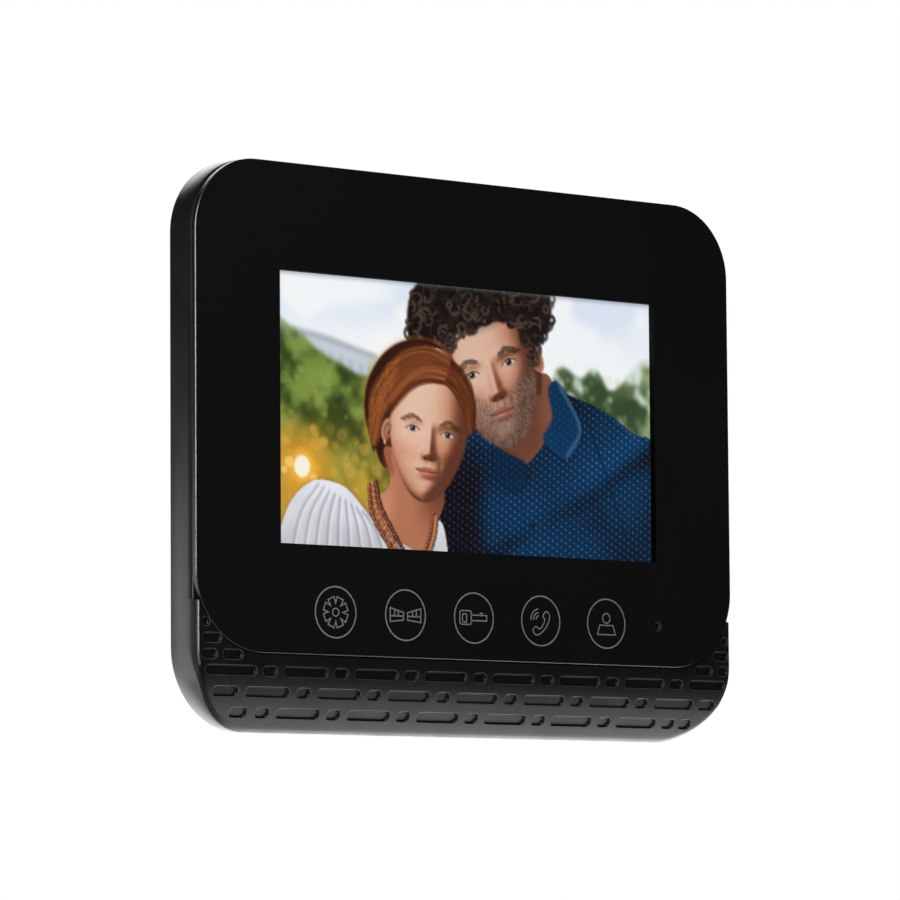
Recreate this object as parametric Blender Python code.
"""Video intercom indoor monitor, seven-inch display, hung on a steel wall bracket.

Axes: +X to the viewer's right, +Y into the wall, +Z up.  The origin lies on the wall plane,
behind the middle of the body.  Sizes below are millimetres.  A depth is measured from the
front plane of the glossy panel towards the wall, so depth THICKNESS is the wall itself.
"""
from math import asin, cos, pi, sin, sqrt

import bmesh
import bpy
from mathutils import Matrix, Vector

MM = 0.001
GAP = 0.3                      # running gap between neighbouring solids

# Driving dimensions of the body
HALF_WIDTH = 111.0
HALF_HEIGHT = 89.75
THICKNESS = 18.2               # front plane to wall
BODY_BACK = 13.2               # depth of the side wall's back edge
TOP_RADIUS = 24.0
BOTTOM_RADIUS = 26.0
WALL = 2.2
CORNER_STEPS = 12

# Front panel
PANEL_THICK = 1.8
PANEL_BOTTOM = -65.8
PANEL_RADIUS = 25.0            # lower corners of the panel
LEDGE_DEPTH = 2.1              # housing rim under the panel's edge
LAND_DEPTH = 2.8               # sunken land that takes the adhesive
RIM_WIDTH = 1.9
FRONT_WALL_BACK = 4.8
WINDOW_HALF = 77.9
WINDOW_LOW = -30.8
WINDOW_HIGH = 55.4
EAR_TOP = -49.4                # top of the chin's two side ears
TOUCH_Z = -51.76
TOUCH_PITCH = 28.05
TOUCH_HALF_X = 66.0            # circuit strip behind the touch keys
TOUCH_HALF_Z = 7.9
MIC_X = 78.3
MIC_Z = -52.1

# Chin: flush with the panel at its top, rolled back towards its lower edge
CHIN_TANGENT = -66.5
CHIN_ROLL_RADIUS = 34.0
CHIN_WALL = 2.4

# Grille recesses in the chin
SLOT_HEIGHT = 3.1
SLOT_DEPTH = 1.1
SLOT_LONG = 17.2
SLOT_SHORT = 5.5
SLOT_PHASE = 2.2
SLOT_ROWS = (-71.0, -77.5, -83.9)
EDGE_SLOTS = {
    -56.2: ((-108.4, -105.5), (106.4, 109.3)),
    -61.15: ((-108.1, -101.1), (102.6, 109.3)),
    -66.15: ((-108.6, -102.7), (-100.4, -92.8), (94.9, 102.2), (104.4, 109.3)),
    -71.0: ((-106.9, -87.2), (92.0, 108.0)),
    -77.5: ((-103.3, -93.3), (97.3, 104.5)),
    -83.9: ((-94.8, -87.8), (91.1, 96.5)),
}

# Rear cover and its plinth
FLANGE_THICK = 2.0
FLANGE_INSET = WALL + GAP
PLINTH_HALF_X = 88.0
PLINTH_HALF_Z = 70.0
PLINTH_RADIUS = 14.0
PLINTH_BACK = 17.7
PLINTH_INSIDE = 14.8
PLINTH_WALL = 2.0

# Wall bracket, its pocket and its hooks
BRACKET_THICK = 1.5
BRACKET_HALF_X = 46.0
BRACKET_HALF_Z = 48.0
LIFT = 8.0                     # how far the monitor lifts to come off the hooks
HOOK_X = 36.0
HOOK_HALF = 4.5
HOOK_ROOTS = (24.0, -38.0)
NECK_HEIGHT = 3.0
TONGUE_RISE = 6.0
TONGUE_THICK = 1.2
POCKET_FLOOR = THICKNESS - BRACKET_THICK - GAP

# Display module
GLASS_HALF = 81.8
GLASS_CENTRE = 12.3
GLASS_HALF_Z = 48.8
GLASS_FRONT = PANEL_THICK + 0.5

# Electronics
BOARD = (-72.0, 50.0, -30.0, 44.0)
BOARD_FRONT = 8.6
BOARD_BACK = 10.2
LABEL_X = -68.0
LABEL_HALF_X = 14.0
LABEL_HALF_Z = 24.0
BOARD_POSTS = ((-68.0, -26.0), (-68.0, 40.0), (46.0, -26.0), (46.0, 40.0))
HOUSING_POSTS = tuple((sx * 99.0, z) for sx in (-1, 1) for z in (-66.0, 0.0, 66.0))
CLIP_POSTS = tuple((sx * 88.0, z) for sx in (-1, 1) for z in (-16.0, 40.0))
SOCKETS = ((-17.0, 14.0), (1.0, 10.0), (16.0, 12.0))
SOCKET_Z = -22.0
SOCKET_HEIGHT = 6.4
SOCKET_BACK = 14.3
SPEAKER = (68.0, -30.0)
MIC_ROUTE = ((78.3, 6.6, -52.1), (78.0, 7.7, -52.3), (74.0, 8.4, -53.5), (64.0, 8.6, -55.0),
             (54.0, 9.0, -50.0), (49.0, 9.9, -42.0), (47.0, 11.2, -36.0), (44.0, 11.5, -32.0))
SWITCH = (-10.0, -4.0)
SWITCH_TRAVEL = 3.0


def clear_scene():
    for item in list(bpy.data.objects):
        bpy.data.objects.remove(item, do_unlink=True)


def point(x, depth, z):
    """A point given by its place on the front view and its depth behind the front plane."""
    return Vector((x, depth - THICKNESS, z)) * MM


def material(name, color, roughness, metallic=0.0, alpha=1.0):
    mat = bpy.data.materials.new(name)
    mat.use_nodes = True
    shader = mat.node_tree.nodes["Principled BSDF"]
    shader.inputs["Base Color"].default_value = (*color, 1.0)
    shader.inputs["Roughness"].default_value = roughness
    shader.inputs["Metallic"].default_value = metallic
    shader.inputs["Alpha"].default_value = alpha
    return mat


# ---------------------------------------------------------------- outlines

def arc(cx, cz, radius, start, end, steps):
    """Points on an arc, both ends included; angles in quarter turns."""
    turns = [start + (end - start) * i / steps for i in range(steps + 1)]
    return [(cx + radius * cos(t * pi / 2), cz + radius * sin(t * pi / 2)) for t in turns]


def rounded(x0, x1, z0, z1, r_low, r_high, steps=CORNER_STEPS):
    """A rectangle with its two lower and its two upper corners rounded."""
    return (arc(x1 - r_low, z0 + r_low, r_low, -1, 0, steps)
            + arc(x1 - r_high, z1 - r_high, r_high, 0, 1, steps)
            + arc(x0 + r_high, z1 - r_high, r_high, 1, 2, steps)
            + arc(x0 + r_low, z0 + r_low, r_low, 2, 3, steps))


def rectangle(x0, x1, z0, z1):
    return [(x0, z0), (x1, z0), (x1, z1), (x0, z1)]


def body_outline(inset=0.0):
    return rounded(-HALF_WIDTH + inset, HALF_WIDTH - inset, -HALF_HEIGHT + inset,
                   HALF_HEIGHT - inset, BOTTOM_RADIUS - inset, TOP_RADIUS - inset)


def panel_outline(inset=0.0):
    return rounded(-HALF_WIDTH + inset, HALF_WIDTH - inset, PANEL_BOTTOM + inset,
                   HALF_HEIGHT - inset, PANEL_RADIUS - inset, TOP_RADIUS - inset)


def panel_seat_outline():
    """Everything above the chin: the panel's lower curve, then straight out over the ears."""
    radius = PANEL_RADIUS + GAP
    cx = HALF_WIDTH - PANEL_RADIUS
    cz = PANEL_BOTTOM + PANEL_RADIUS
    rise = asin((EAR_TOP - cz) / radius) / (pi / 2)
    right = arc(cx, cz, radius, -1, rise, CORNER_STEPS)
    left = [(-x, z) for x, z in reversed(right)]
    out = HALF_WIDTH + 9
    top = HALF_HEIGHT + 9
    return right + [(out, EAR_TOP), (out, top), (-out, top), (-out, EAR_TOP)] + left


def stadium(x0, x1, z, height, steps=4):
    r = min(height, x1 - x0 - 0.1) / 2
    return arc(x1 - r, z, r, -1, 1, steps) + arc(x0 + r, z, r, 1, 3, steps)


def stadium_tall(x, z, half_x, half_z, steps=6):
    """An upright rounded-end outline."""
    return (arc(x, z - half_z + half_x, half_x, -2, 0, steps)
            + arc(x, z + half_z - half_x, half_x, 0, 2, steps))


def chin_depth(z):
    """Depth of the chin's rolled front surface at height z."""
    drop = max(0.0, CHIN_TANGENT - z)
    return CHIN_ROLL_RADIUS - sqrt(CHIN_ROLL_RADIUS ** 2 - drop ** 2)


# ---------------------------------------------------------------- solids

def bridge(bm, rings, closed=False):
    """Join rings of vertices into a skin: capped at both ends, or closed back onto its first ring."""
    pairs = list(zip(rings, rings[1:]))
    if closed:
        pairs.append((rings[-1], rings[0]))
    else:
        bm.faces.new(rings[0])
        bm.faces.new(list(reversed(rings[-1])))
    for a, b in pairs:
        for i in range(len(a)):
            j = (i + 1) % len(a)
            bm.faces.new((a[i], b[i], b[j], a[j]))


def add_loft(bm, near, far):
    """A closed body between two loops of points with the same count."""
    bridge(bm, [[bm.verts.new(p) for p in loop] for loop in (near, far)])


def add_prism(bm, outline, front, back):
    add_loft(bm, [point(x, front, z) for x, z in outline], [point(x, back, z) for x, z in outline])


def add_frame(bm, outer, inner, front, back):
    """A flat ring: two outlines with the same number of points."""
    bridge(bm, [[bm.verts.new(point(x, d, z)) for x, z in outline]
                for outline, d in ((outer, front), (inner, front), (inner, back), (outer, back))], True)


def add_box(bm, x0, x1, d0, d1, z0, z1):
    add_prism(bm, rectangle(x0, x1, z0, z1), d0, d1)


def add_turned(bm, x, z, profile, segments=16, bored=False):
    """A body of revolution about the depth axis; profile holds (depth, radius) pairs."""
    angles = [2 * pi * i / segments for i in range(segments)]
    bridge(bm, [[bm.verts.new(point(x + r * cos(a), d, z + r * sin(a))) for a in angles]
                for d, r in profile], bored)


def add_strip(bm, x0, x1, path, thick):
    """A flat ribbon between x0 and x1 whose middle follows (depth, z) points."""
    near, far = [], []
    for i, (d, z) in enumerate(path):
        before = Vector(path[max(i - 1, 0)])
        after = Vector(path[min(i + 1, len(path) - 1)])
        run = (after - before).normalized()
        side = Vector((-run.y, run.x)) * thick / 2
        near.append((d + side.x, z + side.y))
        far.append((d - side.x, z - side.y))
    loop = near + list(reversed(far))
    add_loft(bm, [point(x0, d, z) for d, z in loop], [point(x1, d, z) for d, z in loop])


def make(name, bm, mat, parent=None, pivot=None):
    """Turn the collected bodies into a named object with its faces pointing out."""
    bmesh.ops.recalc_face_normals(bm, faces=bm.faces)
    mesh = bpy.data.meshes.new(name)
    bm.to_mesh(mesh)
    bm.free()
    mesh.shade_smooth()
    mesh.set_sharp_from_angle(angle=0.6)
    obj = bpy.data.objects.new(name, mesh)
    bpy.context.collection.objects.link(obj)
    if mat:
        mesh.materials.append(mat)
    if pivot:
        mesh.transform(Matrix.Translation(-pivot))
        obj.location = pivot
    if parent:
        obj.parent = parent
    return obj


def boolean(obj, operation, other):
    mod = obj.modifiers.new(operation.title() + " " + other.name, "BOOLEAN")
    mod.operation = operation
    mod.solver = "EXACT"
    mod.object = other
    other.hide_render = True
    other.display_type = "WIRE"


def cutter(name, bm):
    tool = make(name, bm, None)
    tool.hide_render = True
    tool.display_type = "WIRE"
    return tool


def cut(obj, name, fill):
    """Cut obj with the bodies that fill(bm) adds."""
    bm = bmesh.new()
    fill(bm)
    tool = cutter(name, bm)
    boolean(obj, "DIFFERENCE", tool)
    return tool


def join(obj, name, fill):
    bm = bmesh.new()
    fill(bm)
    boolean(obj, "UNION", cutter(name, bm))


def add_each(add, places, *args, **kwargs):
    """A bm-filling function that repeats one turned body at each (x, z) place."""
    def fill(bm):
        for x, z in places:
            add(bm, x, z, *args, **kwargs)
    return fill


def screws(name, places, seat, mat, head, shank, side, parent):
    """Identical pan-head screws sharing one mesh: head and shank are (length, radius).

    side is +1 where the heads lie on the wall side of their seat and -1 where they face the front.
    """
    segments = 12
    round_ring = [1.0] * segments
    star_ring = [1.0 if i % 3 == 0 else 0.45 for i in range(segments)]
    profile = ((-shank[0], shank[1], round_ring), (0, shank[1], round_ring), (0, head[1], round_ring),
               (head[0] * 0.6, head[1], round_ring), (head[0], head[1] * 0.8, round_ring),
               (head[0], head[1] * 0.55, star_ring), (head[0] * 0.35, head[1] * 0.45, star_ring))
    bm = bmesh.new()
    rings = []
    for along, radius, shape in profile:
        rings.append([bm.verts.new(Vector((radius * k * cos(2 * pi * i / segments), side * along,
                                           radius * k * sin(2 * pi * i / segments))) * MM)
                      for i, k in enumerate(shape)])
    bridge(bm, rings)
    first = make(name + "_1", bm, mat, parent)
    first.location = point(places[0][0], seat, places[0][1])
    for index, (x, z) in enumerate(places[1:], 2):
        twin = bpy.data.objects.new(f"{name}_{index}", first.data)
        bpy.context.collection.objects.link(twin)
        twin.location = point(x, seat, z)
        twin.parent = parent


# ---------------------------------------------------------------- housing

def slot_places():
    """Every recess of the grille as (x0, x1, z): two staggered rhythms, then the edge slots."""
    places = []
    for row, z in enumerate(SLOT_ROWS):
        shift = TOUCH_PITCH / 2 if row == 1 else 0.0
        for k in range(-3, 4):
            centre = SLOT_PHASE + TOUCH_PITCH * k
            kinds = ((centre + shift, SLOT_SHORT), (centre + TOUCH_PITCH / 2 - shift, SLOT_LONG))
            for middle, length in kinds:
                if abs(middle) < 87:
                    places.append((middle - length / 2, middle + length / 2, z))
    for z, spans in EDGE_SLOTS.items():
        places += [(x0, x1, z) for x0, x1 in spans]
    return places


def add_slot(bm, x0, x1, z):
    """A stadium-shaped recess whose floor follows the chin's slope."""
    outline = stadium(x0, x1, z, SLOT_HEIGHT)
    slope = (chin_depth(z + 0.5) - chin_depth(z - 0.5))
    floor = chin_depth(z) + SLOT_DEPTH
    add_loft(bm, [point(x, -2, v) for x, v in outline],
             [point(x, floor + slope * (v - z), v) for x, v in outline])


def front_housing(mat, parent):
    bm = bmesh.new()
    add_prism(bm, body_outline(), -1.0, BODY_BACK)
    obj = make("front_housing", bm, mat, parent)

    def chin_roll(tool):
        steps = 10
        low = -HALF_HEIGHT - 3
        curve = [(chin_depth(CHIN_TANGENT + (low - CHIN_TANGENT) * i / steps),
                  CHIN_TANGENT + (low - CHIN_TANGENT) * i / steps) for i in range(steps + 1)]
        profile = [(-5, 95), (0, 95)] + curve + [(-5, low)]
        add_loft(tool, [point(-120, d, z) for d, z in profile], [point(120, d, z) for d, z in profile])
    cut(obj, "chin_roll_cutter", chin_roll)
    cut(obj, "panel_seat_cutter", lambda tool: add_prism(tool, panel_seat_outline(), -2, LEDGE_DEPTH))
    cut(obj, "land_cutter", lambda tool: add_prism(tool, panel_outline(RIM_WIDTH), 0.5, LAND_DEPTH))

    cavity_bm = bmesh.new()
    add_prism(cavity_bm, body_outline(WALL), 1.0, BODY_BACK + 2)
    cavity = cutter("cavity_cutter", cavity_bm)
    profile_bm = bmesh.new()
    drops = [CHIN_TANGENT - 4.0 * i for i in range(7)]
    inner = [(max(FRONT_WALL_BACK, chin_depth(z) + CHIN_WALL), z) for z in drops]
    profile = [(20, 95), (FRONT_WALL_BACK, 95)] + inner + [(20, drops[-1])]
    add_loft(profile_bm, [point(-125, d, z) for d, z in profile], [point(125, d, z) for d, z in profile])
    boolean(cavity, "INTERSECT", cutter("cavity_profile_cutter", profile_bm))
    boolean(obj, "DIFFERENCE", cavity)

    def openings(tool):
        half = GLASS_HALF + GAP
        add_box(tool, -half, half, 0, 8, GLASS_CENTRE - GLASS_HALF_Z - GAP, GLASS_CENTRE + GLASS_HALF_Z + GAP)
        add_box(tool, -TOUCH_HALF_X - 1, TOUCH_HALF_X + 1, 0, 8,
                TOUCH_Z - TOUCH_HALF_Z - 0.4, TOUCH_Z + TOUCH_HALF_Z + 0.4)
        add_turned(tool, MIC_X, MIC_Z, ((0, 4.3), (8, 4.3)))
    cut(obj, "front_wall_cutter", openings)
    cut(obj, "flex_notch_cutter", lambda tool: add_box(tool, -16, 16, 0, 8, -39.4, -34))

    def posts(bm):
        for x, z in HOUSING_POSTS:
            add_turned(bm, x, z, ((FRONT_WALL_BACK - 1, 3.8), (BODY_BACK - FLANGE_THICK - GAP, 3.8)))
        for x, z in CLIP_POSTS:
            add_turned(bm, x, z, ((FRONT_WALL_BACK - 1, 3.0), (7.2, 3.0)))
    join(obj, "post_adder", posts)

    def post_bores(tool):
        for x, z in HOUSING_POSTS:
            add_turned(tool, x, z, ((6.2, 1.8), (20, 1.8)), 12)
        for x, z in CLIP_POSTS:
            add_turned(tool, x, z, ((4.2, 1.3), (9, 1.3)), 12)
    cut(obj, "post_bore_cutter", post_bores)

    def slots(tool):
        for x0, x1, z in slot_places():
            add_slot(tool, x0, x1, z)
    cut(obj, "slot_cutter", slots)
    return obj


def front_panel(mat, parent):
    bm = bmesh.new()
    add_prism(bm, panel_outline(), 0, PANEL_THICK)
    obj = make("front_panel", bm, mat, parent)

    def openings(tool):
        add_box(tool, -WINDOW_HALF, WINDOW_HALF, -2, 4, WINDOW_LOW, WINDOW_HIGH)
        add_turned(tool, MIC_X, MIC_Z, ((-2, 1.15), (4, 1.15)), 12)
    cut(obj, "panel_window_cutter", openings)
    return obj


def panel_tape(mat, parent):
    """Die-cut adhesive foam between the panel and the housing's sunken land."""
    bm = bmesh.new()
    add_prism(bm, panel_outline(RIM_WIDTH + GAP), LEDGE_DEPTH, LAND_DEPTH - GAP)
    obj = make("panel_tape", bm, mat, parent)

    def openings(tool):
        add_box(tool, -84, 84, 0, 4, -39.6, 63)
        add_box(tool, -TOUCH_HALF_X - 2, TOUCH_HALF_X + 2, 0, 4,
                TOUCH_Z - TOUCH_HALF_Z - 1.4, TOUCH_Z + TOUCH_HALF_Z + 1.4)
        add_turned(tool, MIC_X, MIC_Z, ((0, 4.8), (4, 4.8)), 12)
    cut(obj, "tape_cutter", openings)
    return obj


def rear_cover(mat, parent):
    bm = bmesh.new()
    add_prism(bm, body_outline(FLANGE_INSET), BODY_BACK - FLANGE_THICK, BODY_BACK)
    obj = make("rear_cover", bm, mat, parent)
    px, pz = PLINTH_HALF_X, PLINTH_HALF_Z
    join(obj, "plinth_adder", lambda bm: add_prism(
        bm, rounded(-px, px, -pz, pz, PLINTH_RADIUS, PLINTH_RADIUS, 6), BODY_BACK - 0.5, PLINTH_BACK))

    def inside(tool):
        hx, hz = px - PLINTH_WALL, pz - PLINTH_WALL
        r = PLINTH_RADIUS - PLINTH_WALL
        add_prism(tool, rounded(-hx, hx, -hz, hz, r, r, 6), 9, PLINTH_INSIDE)
    cut(obj, "plinth_cavity_cutter", inside)

    def pocket(tool):
        hx = BRACKET_HALF_X + 1.0
        add_prism(tool, rounded(-hx, hx, -BRACKET_HALF_Z - LIFT - 0.8, BRACKET_HALF_Z + 0.8, 5, 5, 3),
                  POCKET_FLOOR, 20)
    cut(obj, "bracket_pocket_cutter", pocket)

    join(obj, "board_post_adder", add_each(
        add_turned, BOARD_POSTS, ((BOARD_BACK + GAP, 3.2), (PLINTH_INSIDE + 0.8, 3.2)), 12))

    def openings(tool):
        add_box(tool, -27, 27, 13, 19, -33, -12)
        for side in (-1, 1):
            for root in HOOK_ROOTS:
                x = side * HOOK_X
                add_box(tool, x - HOOK_HALF - 0.6, x + HOOK_HALF + 0.6, 14, 19,
                        root - LIFT - 0.6, root + NECK_HEIGHT + GAP)
        for i in range(6):
            z = SPEAKER[1] - 12.5 + 5 * i
            add_prism(tool, stadium(SPEAKER[0] - 10, SPEAKER[0] + 10, z, 2.2, 3), 13, 19)
    cut(obj, "rear_opening_cutter", openings)
    cut(obj, "label_recess_cutter", lambda tool: add_box(
        tool, LABEL_X - LABEL_HALF_X - 0.6, LABEL_X + LABEL_HALF_X + 0.6, 17.2, 19,
        -LABEL_HALF_Z - 0.6, LABEL_HALF_Z + 0.6))
    cut(obj, "board_bore_cutter", add_each(add_turned, BOARD_POSTS, ((9, 1.5), (13.9, 1.5)), 12))
    cut(obj, "cover_screw_cutter", add_each(add_turned, HOUSING_POSTS, ((9, 1.8), (19, 1.8)), 12))
    return obj


def wall_bracket(mat):
    """Pressed steel plate with four hooks; the monitor's weight rests on the hooks' necks."""
    bm = bmesh.new()
    plate = THICKNESS - BRACKET_THICK
    add_prism(bm, rounded(-BRACKET_HALF_X, BRACKET_HALF_X, -BRACKET_HALF_Z, BRACKET_HALF_Z, 4, 4, 3),
              plate, THICKNESS)
    obj = make("wall_bracket", bm, mat)

    def hooks(bm):
        tongue = PLINTH_INSIDE - GAP
        for side in (-1, 1):
            for root in HOOK_ROOTS:
                x = side * HOOK_X
                neck = root + NECK_HEIGHT
                profile = [(plate + 0.7, root), (plate + 0.7, neck), (tongue, neck),
                           (tongue, neck + TONGUE_RISE), (tongue - TONGUE_THICK, neck + TONGUE_RISE),
                           (tongue - TONGUE_THICK, root)]
                add_loft(bm, [point(x - HOOK_HALF, d, z) for d, z in profile],
                         [point(x + HOOK_HALF, d, z) for d, z in profile])
    join(obj, "hook_adder", hooks)

    def openings(tool):
        add_prism(tool, rounded(-29, 29, -42, -10.5, 3, 3, 3), plate - 2, THICKNESS + 2)
        add_prism(tool, rounded(-29, 29, 12, 38, 3, 3, 3), plate - 2, THICKNESS + 2)
        for side in (-1, 1):
            add_prism(tool, stadium(side * 38 - 3.2, side * 38 + 3.2, 0, 4.4, 4), plate - 2, THICKNESS + 2)
        for z in (-45.0, 43.0):
            add_turned(tool, 0, z, ((plate - 2, 1.9), (THICKNESS + 2, 1.9)), 12)
    cut(obj, "bracket_opening_cutter", openings)
    return obj


# ---------------------------------------------------------------- display module

def display_parts(mats, parent):
    low = GLASS_CENTRE - GLASS_HALF_Z
    high = GLASS_CENTRE + GLASS_HALF_Z
    bm = bmesh.new()
    add_box(bm, -WINDOW_HALF + GAP, WINDOW_HALF - GAP, 0, PANEL_THICK, WINDOW_LOW + GAP, WINDOW_HIGH - GAP)
    make("display_window", bm, mats["clear"], parent)

    bm = bmesh.new()
    add_box(bm, -GLASS_HALF, GLASS_HALF, GLASS_FRONT, GLASS_FRONT + 1.2, low, high)
    make("lcd_glass", bm, mats["lcd"], parent)

    front = GLASS_FRONT + 1.5
    bm = bmesh.new()
    add_frame(bm, rectangle(-GLASS_HALF, GLASS_HALF, low, high),
              rectangle(-GLASS_HALF + 2.4, GLASS_HALF - 2.4, low + 2.4, high - 2.4), front, front + 2.6)
    make("backlight_frame", bm, mats["white"], parent)

    bm = bmesh.new()
    add_box(bm, -GLASS_HALF + 2.7, GLASS_HALF - 2.7, front + 0.3, front + 2.3, low + 5.2, high - 2.7)
    make("light_guide", bm, mats["clear"], parent)

    bm = bmesh.new()
    add_box(bm, -74, 74, front + 0.3, front + 2.3, low + 2.7, low + 3.3)
    strip = make("led_strip", bm, mats["copper"], parent)

    def leds(bm):
        for i in range(12):
            x = -66 + 12 * i
            add_box(bm, x - 2.4, x + 2.4, front + 0.6, front + 2.0, low + 3.0, low + 4.8)
    join(strip, "led_adder", leds)

    bm = bmesh.new()
    add_box(bm, -GLASS_HALF, GLASS_HALF, front + 2.9, front + 3.4, low, high)
    make("backlight_tray", bm, mats["steel"], parent)

    bm = bmesh.new()
    path = [(GLASS_FRONT + 0.6, low - GAP), (GLASS_FRONT + 0.8, low - 1.1), (4.0, low - 1.9),
            (6.6, low - 1.9), (7.6, low - 1.2), (7.9, low), (7.9, low + 12)]
    add_strip(bm, -14, 14, path, 0.2)
    make("lcd_flex", bm, mats["copper"], parent)

    for index, (x, z) in enumerate(CLIP_POSTS, 1):
        side = 1 if x > 0 else -1
        x0, x1 = sorted((side * 78.4, side * 91.5))
        bm = bmesh.new()
        add_frame(bm, rounded(x0, x1, z - 5, z + 5, 2, 2, 2), arc(x, z, 1.4, -1, 3 - 4 / 12, 11), 7.5, 8.1)
        make(f"display_clip_{index}", bm, mats["steel"], parent)
    screws("clip_screw", CLIP_POSTS, 8.4, mats["zinc"], (1.2, 2.3), (3.5, 1.0), 1, parent)


# ---------------------------------------------------------------- electronics

def electronics(mats, parent):
    bm = bmesh.new()
    add_box(bm, BOARD[0], BOARD[1], BOARD_FRONT, BOARD_BACK, BOARD[2], BOARD[3])
    board = make("main_board", bm, mats["board"], parent)
    cut(board, "board_hole_cutter", add_each(add_turned, BOARD_POSTS, ((8, 1.5), (11, 1.5)), 12))
    screws("board_screw", BOARD_POSTS, 8.3, mats["zinc"], (0.7, 2.3), (5.1, 1.1), -1, parent)

    on_board = BOARD_BACK + GAP
    bm = bmesh.new()
    add_box(bm, -58, -26, on_board, on_board + 2.6, 2, 34)
    can = make("shield_can", bm, mats["steel"], parent)
    cut(can, "can_cavity_cutter",
        lambda tool: add_box(tool, -57.6, -26.4, on_board - 2, on_board + 2.2, 2.4, 33.6))

    bm = bmesh.new()
    add_box(bm, -52, -38, on_board, on_board + 1.4, 12, 26)
    make("processor", bm, mats["chip"], parent)

    bm = bmesh.new()
    add_box(bm, -35, -28, on_board, on_board + 1.2, 13, 23)
    make("memory_chip", bm, mats["chip"], parent)

    for index, x in enumerate((-6, 8), 1):
        bm = bmesh.new()
        add_prism(bm, rounded(x - 4.5, x + 4.5, 17.5, 26.5, 1, 1, 2), on_board, on_board + 3.4)
        make(f"power_inductor_{index}", bm, mats["ferrite"], parent)

    for index, x in enumerate((-12, 0, 12), 1):
        bm = bmesh.new()
        profile = ((on_board, 4.2), (on_board + 1.2, 4.2), (on_board + 1.5, 3.9), (on_board + 1.8, 4.2),
                   (on_board + 3.7, 4.2), (on_board + 3.9, 3.9))
        add_turned(bm, x, 6, profile, 16)
        make(f"capacitor_{index}", bm, mats["can"], parent)

    bm = bmesh.new()
    add_box(bm, 15.5, 20.5, on_board, on_board + 1.6, 28, 32)
    make("power_chip", bm, mats["chip"], parent)

    for name, (x, width) in zip(("line_socket", "power_socket", "aux_socket"), SOCKETS):
        bm = bmesh.new()
        half = SOCKET_HEIGHT / 2
        add_box(bm, x - width / 2, x + width / 2, on_board, SOCKET_BACK, SOCKET_Z - half, SOCKET_Z + half)
        socket = make(name, bm, mats["ivory"], parent)
        cut(socket, name + "_cutter", lambda tool: add_box(
            tool, x - width / 2 + 1, x + width / 2 - 1, on_board + 0.9, 16,
            SOCKET_Z - half + 1.3, SOCKET_Z + half - 1.3))

    bm = bmesh.new()
    add_box(bm, -TOUCH_HALF_X, TOUCH_HALF_X, 2.1, 3.1, TOUCH_Z - TOUCH_HALF_Z, TOUCH_Z + TOUCH_HALF_Z)
    make("touch_board", bm, mats["board"], parent)
    bm = bmesh.new()
    add_box(bm, -23, -17, 3.4, 4.4, TOUCH_Z - 3, TOUCH_Z + 3)
    make("touch_chip", bm, mats["chip"], parent)
    bm = bmesh.new()
    path = [(3.5, -52), (4.3, -51), (6.6, -48), (8.0, -44), (8.2, -40), (8.2, -31), (8.2, -26)]
    add_strip(bm, 26, 36, path, 0.2)
    make("touch_flex", bm, mats["copper"], parent)


def line_switch(mats, parent, moving):
    """Two-position line terminator: a slide switch beside the sockets."""
    x, z = SWITCH
    on_board = BOARD_BACK + GAP
    bm = bmesh.new()
    add_box(bm, x - 5, x + 6, on_board, 13.4, z - 2.6, z + 2.6)
    body = make("line_switch_body", bm, mats["steel"], parent)
    cut(body, "switch_slot_cutter", lambda tool: add_box(
        tool, x - 1.2 - GAP, x + 1.2 + GAP + SWITCH_TRAVEL, 11.4, 15, z - 1.0 - GAP, z + 1.0 + GAP))
    bm = bmesh.new()
    add_box(bm, x - 1.2, x + 1.2, 11.8, 14.6, z - 1.0, z + 1.0)
    make("line_switch_lever", bm, mats["white"], moving, point(x, 11.8, z))


def sound(mats, parent):
    x, z = SPEAKER
    bm = bmesh.new()
    add_frame(bm, stadium_tall(x, z, 14.0, 20.0), stadium_tall(x, z, 12.0, 18.0), 13.9, 14.5)
    make("speaker_gasket", bm, mats["foam"], parent)
    bm = bmesh.new()
    add_frame(bm, stadium_tall(x, z, 14.0, 20.0), stadium_tall(x, z, 11.6, 17.6), 12.6, 13.6)
    make("speaker_frame", bm, mats["black"], parent)
    bm = bmesh.new()
    outer = stadium_tall(x, z, 11.3, 17.3)
    inner = stadium_tall(x, z, 6.0, 11.0)
    add_loft(bm, [point(a, 13.4, b) for a, b in outer], [point(a, 12.0, b) for a, b in inner])
    make("speaker_cone", bm, mats["paper"], parent)
    bm = bmesh.new()
    add_turned(bm, x, z, ((8.0, 8.5), (8.2, 8.8), (11.5, 8.8), (11.7, 8.5)), 20)
    magnet = make("speaker_magnet", bm, mats["steel"], parent)
    join(magnet, "speaker_bridge_adder", lambda bm: add_box(bm, x - 3, x + 3, 9.2, 10.4, z - 16, z + 16))

    bm = bmesh.new()
    profile = ((2.1, 4.0), (7.0, 4.0), (7.0, 2.7), (2.9, 2.7), (2.9, 1.0), (2.1, 1.0))
    add_turned(bm, MIC_X, MIC_Z, profile, 16, bored=True)
    make("microphone_boot", bm, mats["rubber"], parent)
    bm = bmesh.new()
    add_turned(bm, MIC_X, MIC_Z, ((3.2, 2.2), (3.4, 2.4), (5.8, 2.4)), 16)
    make("microphone", bm, mats["can"], parent)


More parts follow.
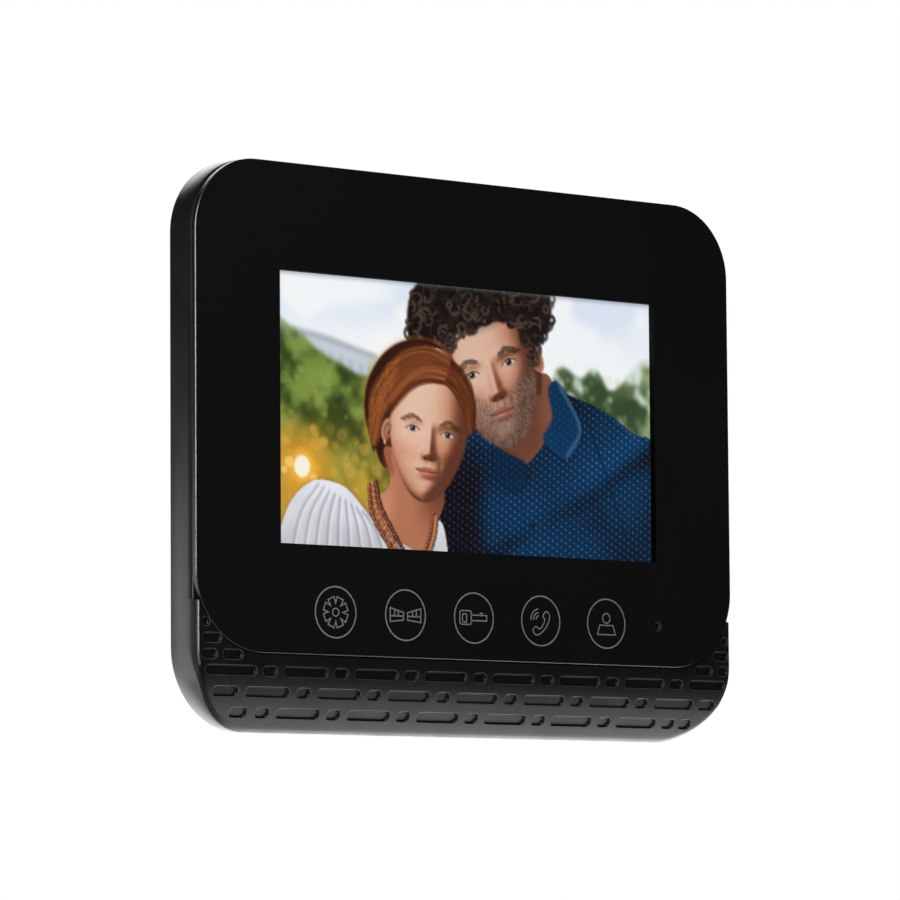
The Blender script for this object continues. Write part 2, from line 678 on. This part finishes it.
def lead(name, route, radius, mat, parent):
    """A round insulated lead along a route of (x, depth, z) points."""
    curve = bpy.data.curves.new(name, "CURVE")
    curve.dimensions = "3D"
    curve.bevel_depth = radius * MM
    curve.bevel_resolution = 2
    curve.use_fill_caps = True
    spline = curve.splines.new("POLY")
    places = smooth_route(route)
    spline.points.add(len(places) - 1)
    for knot, (x, d, z) in zip(spline.points, places):
        knot.co = (*point(x, d, z), 1.0)
    curve.materials.append(mat)
    wire = bpy.data.objects.new(name, curve)
    bpy.context.collection.objects.link(wire)
    wire.parent = parent


def smooth_route(points, steps=3):
    """Catmull-Rom curve through the points."""
    ends = [points[0]] + list(points) + [points[-1]]
    out = []
    for a, b, c, d in zip(ends, ends[1:], ends[2:], ends[3:]):
        for i in range(steps):
            t = i / steps
            out.append(tuple(0.5 * (2 * q + (r - p) * t + (2 * p - 5 * q + 4 * r - s) * t * t
                                    + (3 * q - p - 3 * r + s) * t ** 3)
                             for p, q, r, s in zip(a, b, c, d)))
    out.append(points[-1])
    return out


def build():
    clear_scene()
    mats = {
        "black": material("black_plastic", (0.012, 0.012, 0.013), 0.45),
        "gloss": material("panel_black", (0.006, 0.006, 0.007), 0.08),
        "clear": material("clear_acrylic", (0.9, 0.92, 0.94), 0.05, alpha=0.35),
        "lcd": material("lcd_cell", (0.02, 0.02, 0.025), 0.12),
        "white": material("white_plastic", (0.8, 0.8, 0.78), 0.5),
        "ivory": material("ivory_plastic", (0.75, 0.7, 0.58), 0.5),
        "steel": material("zinc_steel", (0.5, 0.51, 0.52), 0.4, 1.0),
        "zinc": material("screw_steel", (0.35, 0.35, 0.36), 0.35, 1.0),
        "can": material("aluminium_can", (0.7, 0.7, 0.72), 0.3, 1.0),
        "copper": material("flex_polyimide", (0.45, 0.2, 0.05), 0.4),
        "board": material("board_green", (0.02, 0.12, 0.05), 0.45),
        "chip": material("chip_black", (0.02, 0.02, 0.02), 0.6),
        "ferrite": material("ferrite_grey", (0.08, 0.08, 0.085), 0.6),
        "foam": material("foam_black", (0.02, 0.02, 0.02), 0.9),
        "paper": material("cone_paper", (0.05, 0.05, 0.05), 0.8),
        "rubber": material("rubber_black", (0.02, 0.02, 0.02), 0.8),
        "wire": material("wire_red", (0.5, 0.03, 0.02), 0.5),
        "label": material("label_white", (0.7, 0.7, 0.7), 0.5),
    }
    monitor = bpy.data.objects.new("monitor", None)
    bpy.context.collection.objects.link(monitor)
    switch = bpy.data.objects.new("line_switch", None)
    bpy.context.collection.objects.link(switch)

    wall_bracket(mats["steel"])
    front_housing(mats["black"], monitor)
    front_panel(mats["gloss"], monitor)
    panel_tape(mats["foam"], monitor)
    rear_cover(mats["black"], monitor)
    screws("housing_screw", HOUSING_POSTS, 13.5, mats["zinc"], (1.5, 2.9), (6.7, 1.45), 1, monitor)
    display_parts(mats, monitor)
    electronics(mats, monitor)
    line_switch(mats, monitor, switch)
    sound(mats, monitor)
    for name, drop in (("speaker_lead_red", 0.0), ("speaker_lead_black", -2.0)):
        route = [(64, 9.7, -12.5 + drop), (60, 9.7, -9 + drop), (56, 10.6, -7 + drop),
                 (52, 11.4, -6 + drop), (46, 11.4, -6 + drop)]
        lead(name, route, 0.5, mats["wire" if drop == 0 else "chip"], monitor)
    lead("microphone_lead", MIC_ROUTE, 0.7, mats["chip"], monitor)
    bm = bmesh.new()
    add_box(bm, LABEL_X - LABEL_HALF_X, LABEL_X + LABEL_HALF_X, 17.5, 17.7, -LABEL_HALF_Z, LABEL_HALF_Z)
    make("rating_label", bm, mats["label"], monitor)


build()
